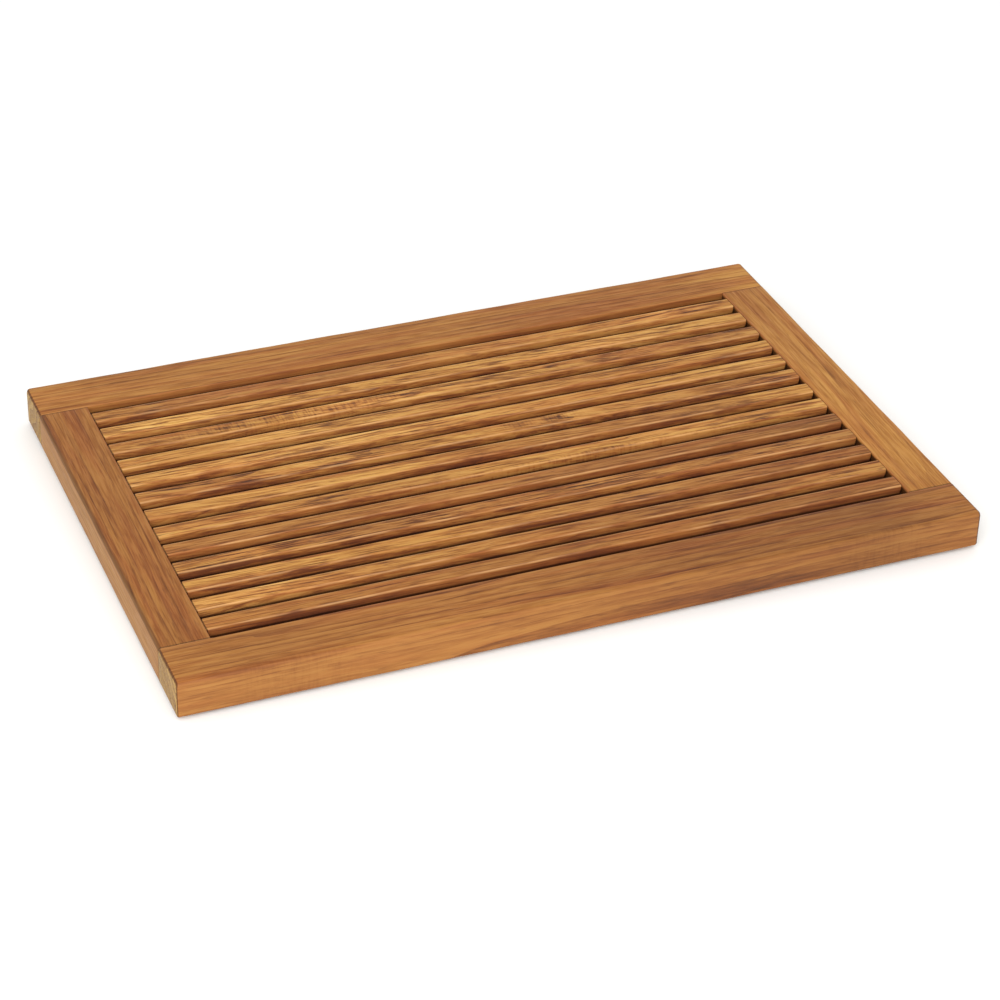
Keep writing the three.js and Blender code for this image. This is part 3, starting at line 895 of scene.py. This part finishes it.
def board_colour(tree, board, seed, tones, length, figure, pore):
    """The tone at the place along the board, times the stain of the figure, the blush and the pores."""
    along = add(tree, "SeparateXYZ", (board,), out="X")
    share = add(tree, "Math", (along, 1 / length, 0.5), operation="MULTIPLY_ADD")
    even = [(i / (len(tones) - 1), hex_colour) for i, hex_colour in enumerate(tones)]
    layers = []
    for factor, stops in ((share, even), (figure, STAINS)):
        ramp = add(tree, "ValToRGB", (factor,), out=None)
        for _ in stops[2:]:
            ramp.color_ramp.elements.new(0.5)
        for element, (position, hex_colour) in zip(ramp.color_ramp.elements, stops):
            element.position = position
            element.color = linear(hex_colour)
        layers.append(ramp.outputs["Color"])
    colour = add(tree, "Mix", {0: 1.0, 6: layers[0], 7: layers[1]}, out=2, **TINT)
    blush = grain(tree, board, (120, 8, 8), seed + 53, 0.42, 0.68)
    colour = add(tree, "Mix", {0: blush, 6: colour, 7: linear(BLUSH_TINT)}, out=2, **TINT)
    open_pores = add(tree, "Math", (pore, PORE_SHARE), operation="MULTIPLY")
    return add(tree, "Mix", {0: open_pores, 6: colour, 7: linear(PORE_TINT)}, out=2, **TINT)


def with_painted_gap_shade(tree, colour, board, size, inner, kind, shoulder):
    """Paints shade on the sides that face a gap: a little all over, more deep down, and a painted shadow in a
    slat's corners. Draws the joint's dark line at an end rail's ends. inner is the board side, -1 or 1, that
    faces the gap, or 0 for both. shoulder is the distance from the middle to the tenons' shoulders."""
    x, y, z = (add(tree, "SeparateXYZ", (board,), out=axis) for axis in "XYZ")
    along = add(tree, "Math", (x,), operation="ABSOLUTE")
    side = add(tree, "Math", (y,), operation="ABSOLUTE")
    if inner:
        side = add(tree, "Math", (y, float(inner)), operation="MULTIPLY")
    half_width, top = size[1] / 2, size[2] / 2
    # Painted shade: the sides that face a gap tend a little to a darker, redder tone.
    facing_gap = add(tree, "MapRange", (side, half_width - 1.3, half_width - 0.3), **SMOOTH)
    shaded = add(tree, "Math", (facing_gap, GAP_SIDE_SHADE_SHARE), operation="MULTIPLY")
    colour = add(tree, "Mix", {0: shaded, 6: colour, 7: linear(GAP_SIDE_SHADE_TONE)}, out=2, **BLEND)
    # Painted shade, darker deeper down the gap.
    shallow, deep = GAP_SHADE_FROM[kind]
    deep_shade = add(tree, "MapRange", (z, top - shallow, top - deep, 0, GAP_SHADE_SHARE), **SMOOTH)
    # Painted shadow in a slat's corners at its ends, with a slanted edge.
    if kind == "slat":
        slanted = add(tree, "Math", (z, -0.4, along), operation="MULTIPLY_ADD")
        edge = shoulder - 0.4 * top
        corner = add(tree, "MapRange", (slanted, edge - 0.4, edge + 1.2, 0, CORNER_SHADOW_SHARE), **SMOOTH)
        deep_shade = add(tree, "Math", (deep_shade, corner), operation="MAXIMUM")
    dark = add(tree, "Math", (facing_gap, deep_shade), operation="MULTIPLY")
    colour = add(tree, "Mix", {0: dark, 6: colour, 7: linear(GAP_SHADE_AND_JOINT_TINT)}, out=2, **TINT)
    if kind == "end":
        joint = add(tree, "MapRange", (along, shoulder - 1.3, shoulder - 0.3, 0, JOINT_SHARE), **SMOOTH)
        colour = add(tree, "Mix", {0: joint, 6: colour, 7: linear(GAP_SHADE_AND_JOINT_TINT)}, out=2, **TINT)
    return colour


def with_worn_and_highlit_arrises(tree, colour, board, seed, size):
    """A slat's top arrises, within 1.5 mm of both faces, paler in patches: partly wear, partly a painted
    highlight.
    """
    y, z = (add(tree, "SeparateXYZ", (board,), out=axis) for axis in "YZ")
    side = add(tree, "Math", (y,), operation="ABSOLUTE")
    near_side = add(tree, "MapRange", (side, size[1] / 2 - 1.5, size[1] / 2 - 0.6), **SMOOTH)
    near_top = add(tree, "MapRange", (z, size[2] / 2 - 1.5, size[2] / 2 - 0.5, 0, WORN_AND_HIGHLIGHT_SHARE), **SMOOTH)
    # Paler arrises in patches: partly wear, partly a painted highlight.
    worn_and_highlit = add(tree, "Math", (near_side, near_top), operation="MULTIPLY")
    patchy = grain(tree, board, (35, 5, 5), seed + 43, 0.35, 0.65)
    worn_and_highlit = add(tree, "Math", (worn_and_highlit, patchy), operation="MULTIPLY")
    return add(tree, "Mix", {0: worn_and_highlit, 6: colour, 7: linear(WORN_AND_HIGHLIGHT_ARRIS_TINT)}, out=2, **BLEND)


def with_outer_side(tree, colour, board, size, inner, tone, share, soaked):
    """A rail's outer side tends to a tone by a share, and its outer top arris is darkened by soaked."""
    y, z = (add(tree, "SeparateXYZ", (board,), out=axis) for axis in "YZ")
    half_width, top = size[1] / 2, size[2] / 2
    outer = add(tree, "Math", (y, -float(inner)), operation="MULTIPLY")
    beside = add(tree, "MapRange", (outer, half_width - 2.5, half_width - 0.5, 0, share), **SMOOTH)
    colour = add(tree, "Mix", {0: beside, 6: colour, 7: linear(tone)}, out=2, **BLEND)
    near_side = add(tree, "MapRange", (outer, half_width - 3.5, half_width - 1.5), **SMOOTH)
    near_top = add(tree, "MapRange", (z, top - 3.0, top - 1.5, 0, soaked), **SMOOTH)
    arris = add(tree, "Math", (near_side, near_top), operation="MULTIPLY")
    return add(tree, "Mix", {0: arris, 6: colour, 7: linear(END_ARRIS_TINT)}, out=2, **TINT)


def with_end_grain(tree, colour, board, seed, across_mat, late, ring_tone):
    """End grain, with rings and vessels, on faces that look along the board: it comes in where the size of
    the normal's part along the board goes from 0.6 to 0.95. The arris round it is darkened by oil."""
    normal = add(tree, "NewGeometry", out="Normal")
    facing = add(tree, "SeparateXYZ", (normal,), out="Y" if across_mat else "X")
    endwise = add(tree, "Math", (facing,), operation="ABSOLUTE")
    vessel = grain(tree, board, (3, 1.4, 1.4), seed + 31, 0.42, 0.68, 3.0)
    dark = add(tree, "Math", (late, 0.3), operation="MULTIPLY")
    dark = add(tree, "Math", (ring_tone, 0.4, dark), operation="MULTIPLY_ADD")
    dark = add(tree, "Math", (vessel, 0.4, dark), operation="MULTIPLY_ADD")
    end = add(tree, "Mix", {0: dark, 6: linear(END_GRAIN), 7: linear(VESSEL_TINT)}, out=2, **TINT)
    on_end = add(tree, "MapRange", (endwise, 0.6, 0.95), **SMOOTH)
    colour = add(tree, "Mix", {0: on_end, 6: colour, 7: end}, out=2, **BLEND)
    turning = add(tree, "MapRange", (endwise, 0.25, 0.5, 0, END_ARRIS_SHARE), **SMOOTH)
    leaving = add(tree, "MapRange", (endwise, 0.97, 0.8), **SMOOTH)
    soaked = add(tree, "Math", (turning, leaving), operation="MULTIPLY")
    return add(tree, "Mix", {0: soaked, 6: colour, 7: linear(END_ARRIS_TINT)}, out=2, **TINT)


print("the gaps darken from", GAP_SHADE_FROM["slat"][0], "to", GAP_SHADE_FROM["slat"][1], "mm below the top")

# %% [markdown]
# Oil leaves teak satin, not glossy. Its index of refraction is 1.5, and its roughness is 0.48, with a little
# more on the fibres. Wet feet wear the oil's film thin, so the specular level is under half of a whole
# film's. The open pores are small furrows, so they lower the bump, and fibres raise it.

# %% The teak material
ROUGHNESS = 0.48
FIBRE_ROUGHNESS = 0.14
OILED_WOOD_IOR = 1.5
WORN_FILM_SPECULAR = 0.22


def teak(name, size, centre, across_mat, inner, seed, about):
    """Oiled teak heartwood, planed and sanded. size is the board's (length, width, height) in mm."""
    material, tree, shader = new_material("teak_oiled_" + name)
    board = board_space(tree, centre, across_mat)
    tree_like = {key: about[key] for key in ("pith", "ring", "wander", "slope")}
    bent, late, ring_tone = growth_rings(tree, board, seed, **tree_like)
    figure, fibre, pore = figure_of(tree, board, bent, seed, late, ring_tone, about)
    colour = board_colour(tree, board, seed, about["tones"], size[0], figure, pore)
    kind = "slat" if name.startswith("slat") else "end" if name.endswith("end_rail") else "long"
    tenon = {"slat": SLAT_TENON["length"], "end": CORNER_TENON["length"], "long": 0}[kind] / MM
    colour = with_painted_gap_shade(tree, colour, board, size, inner, kind, size[0] / 2 - tenon)
    if kind == "slat":
        colour = with_worn_and_highlit_arrises(tree, colour, board, seed, size)
    elif inner:
        colour = with_outer_side(tree, colour, board, size, inner, *about["outer"], about.get("soaked", 0.0))
    colour = with_end_grain(tree, colour, board, seed, across_mat, late, ring_tone)

    height = add(tree, "Math", (fibre, 0.5), operation="MULTIPLY")
    height = add(tree, "Math", (pore, -0.8, height), operation="MULTIPLY_ADD")
    relief = add(tree, "Bump", {"Height": height, "Strength": 0.4, "Distance": 0.12 * MM})
    rough = add(tree, "Math", (fibre, FIBRE_ROUGHNESS, ROUGHNESS), operation="MULTIPLY_ADD")
    wire(tree, shader, {"Base Color": colour, "Normal": relief, "Roughness": rough})
    wire(tree, shader, {"IOR": OILED_WOOD_IOR, "Specular IOR Level": WORN_FILM_SPECULAR})
    return material


# The side of each rail that faces the opening, along the axis across its grain.
INNER_SIDES = {"front_long_rail": 1, "back_long_rail": -1, "left_end_rail": -1, "right_end_rail": 1}
wooden = {**slats, **long_rails, **end_rails, "centre_bearer": bearer}
for i, (name, piece) in enumerate(sorted(wooden.items())):
    low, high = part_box(name)
    across_mat = name.endswith("end_rail") or name == "centre_bearer"
    length, width, height = (high - low) / MM
    size = (width, length, height) if across_mat else (length, width, height)
    centre, inner = tuple((low + high) / 2), INNER_SIDES.get(name, 0)
    finish = teak(name, size, centre, across_mat, inner, 3.7 * i, BOARDS[name])
    piece.data.materials.clear()
    piece.data.materials.append(finish)
print(len(wooden), "teak materials")

# %% [markdown]
# ## Rubber and stainless steel
# The feet are moulded black rubber: dark, dull and finely textured by the mould. The screws are cold-formed
# stainless steel, lightly brushed by tumbling.

# %% Rubber and steel
def rubber():
    """Moulded black rubber: IOR 1.52, rough, with a fine sandy mould texture of 0.4 mm grains."""
    material, tree, shader = new_material("rubber_black_moulded")
    at = add(tree, "TexCoord", out="Object")
    sand = add(tree, "TexNoise", {"Vector": at, "Scale": 1 / (0.4 * MM), "Detail": 2.0}, out="Fac")
    shade = add(tree, "MapRange", {"Value": sand, "From Min": 0.3, "From Max": 0.7})
    tint = add(tree, "Mix", {0: shade, 6: linear("1E1D1C"), 7: linear("2B2A28")}, out=2, data_type="RGBA")
    relief = add(tree, "Bump", {"Height": sand, "Strength": 0.4, "Distance": 0.05 * MM})
    wire(tree, shader, {"Base Color": tint, "Normal": relief, "Roughness": 0.72, "IOR": 1.52})
    return material


def stainless():
    """Stainless steel, tumbled after forming: a metal, grey, with faint scratches about 0.3 mm apart."""
    material, tree, shader = new_material("stainless_steel_tumbled")
    at = add(tree, "TexCoord", out="Object")
    scratch = add(tree, "TexNoise", {"Vector": at, "Scale": 1 / (0.3 * MM), "Detail": 3.0}, out="Fac")
    rough = add(tree, "MapRange", {"Value": scratch, "To Min": 0.22, "To Max": 0.38})
    relief = add(tree, "Bump", {"Height": scratch, "Strength": 0.2, "Distance": 0.02 * MM})
    steel = {"Base Color": linear("C4C2BE"), "Metallic": 1.0, "Roughness": rough, "Normal": relief}
    wire(tree, shader, steel)
    return material


rubber_finish, steel_finish = rubber(), stainless()
for foot in feet.values():
    foot.data.materials.append(rubber_finish)
for screw in screws.values():
    screw.data.materials.append(steel_finish)
print("finishes:", rubber_finish.name, steel_finish.name)

# %% [markdown]
# ## Join the pieces to the model
# Nothing on this mat moves, so every piece rides on the one body, and each stands for the solid it refines.

# %% Ride and replace
pieces = {**wooden, **screws, **feet}
for name, piece in pieces.items():
    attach(piece, "root")
    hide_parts(name)


def open_edges(piece):
    """The number of edges that do not have exactly two faces."""
    shaped = bmesh.new()
    shaped.from_mesh(piece.data)
    count = sum(not edge.is_manifold for edge in shaped.edges)
    shaped.free()
    return count


triangles = sum(len(face.vertices) - 2 for piece in pieces.values() for face in piece.data.polygons)
open_count = sum(open_edges(piece) for piece in pieces.values())
print(len(pieces), "pieces,", triangles, "triangles, open edges:", open_count)

# %% [markdown]
# ## The studio
# A plain near-white floor and an even white surround, as in a product studio, with one large softbox in
# front, a little to the left and a third of a right angle up, so that the sides of the rails and slats are as
# bright as their tops. The view transform is Standard, so colours come out as they were chosen.

# %% Floor and light
FLOOR_HALF = 4.0
SURROUND_STRENGTH = 1.03
SOFTBOX_FROM = Vector((-0.42, -0.79, 0.5)).normalized()
SOFTBOX_DISTANCE = 2.2
SOFTBOX_SIZE = 1.6
SOFTBOX_WATTS = 36

floor_corners = [(x * FLOOR_HALF, y * FLOOR_HALF, 0) for x, y in ((-1, -1), (1, -1), (1, 1), (-1, 1))]
floor_mesh = bpy.data.meshes.new("studio_floor")
floor_mesh.from_pydata(floor_corners, [], [(0, 1, 2, 3)])
floor = bpy.data.objects.new("studio_floor", floor_mesh)
bpy.context.scene.collection.objects.link(floor)
paper, tree, shader = new_material("white_paper")
wire(tree, shader, {"Base Color": linear("F4F4F2"), "Roughness": 0.9})
floor_mesh.materials.append(paper)

world = bpy.data.worlds.new("studio_surround")
bpy.context.scene.world = world
world.use_nodes = True
background = world.node_tree.nodes["Background"]
wire(world.node_tree, background, {"Color": (1, 1, 1, 1), "Strength": SURROUND_STRENGTH})

key = bpy.data.lights.new("key_softbox", "AREA")
key.energy = SOFTBOX_WATTS
key.size = SOFTBOX_SIZE
key_object = bpy.data.objects.new("key_softbox", key)
key_object.location = SOFTBOX_DISTANCE * SOFTBOX_FROM
key_object.rotation_euler = SOFTBOX_FROM.to_track_quat("Z", "Y").to_euler()
bpy.context.scene.collection.objects.link(key_object)
bpy.context.scene.view_settings.view_transform = "Standard"
print("lights:", key_object.name, "and", world.name)

# %% [markdown]
# ## The camera
# A long lens stands 2.2 m away, to the left of the front and a third of a right angle above the floor. A
# viewing direction is two angles, azimuth a and elevation e: back from the mat it is
# (sin a cos e, -cos a cos e, sin e). A small roll finishes it.

# %% Camera
AZIMUTH, ELEVATION, ROLL = (math.radians(v) for v in (-22.55, 32.97, 1.46))
DISTANCE, ASIDE, RAISED = 2.1685, 0.00725, -0.01428
FOCAL_LENGTH, SENSOR_WIDTH = 105.12, 36

back = Vector(
    (math.sin(AZIMUTH) * math.cos(ELEVATION), -math.cos(AZIMUTH) * math.cos(ELEVATION), math.sin(ELEVATION))
)
level = Vector((0, 0, 1)).cross(back).normalized()
upright = back.cross(level)
right = math.cos(ROLL) * level + math.sin(ROLL) * upright
up = math.cos(ROLL) * upright - math.sin(ROLL) * level
lens = bpy.data.cameras.new("studio_camera")
lens.lens = FOCAL_LENGTH
lens.sensor_width = SENSOR_WIDTH
camera = bpy.data.objects.new("studio_camera", lens)
stands_at = Vector((0, 0, wood_bottom)) + DISTANCE * back + ASIDE * right + RAISED * up
turn = Matrix((right, up, back)).transposed().to_4x4()
camera.matrix_world = Matrix.Translation(stands_at) @ turn
bpy.context.scene.collection.objects.link(camera)
bpy.context.scene.camera = camera
print("camera at", [round(v, 3) for v in stands_at])
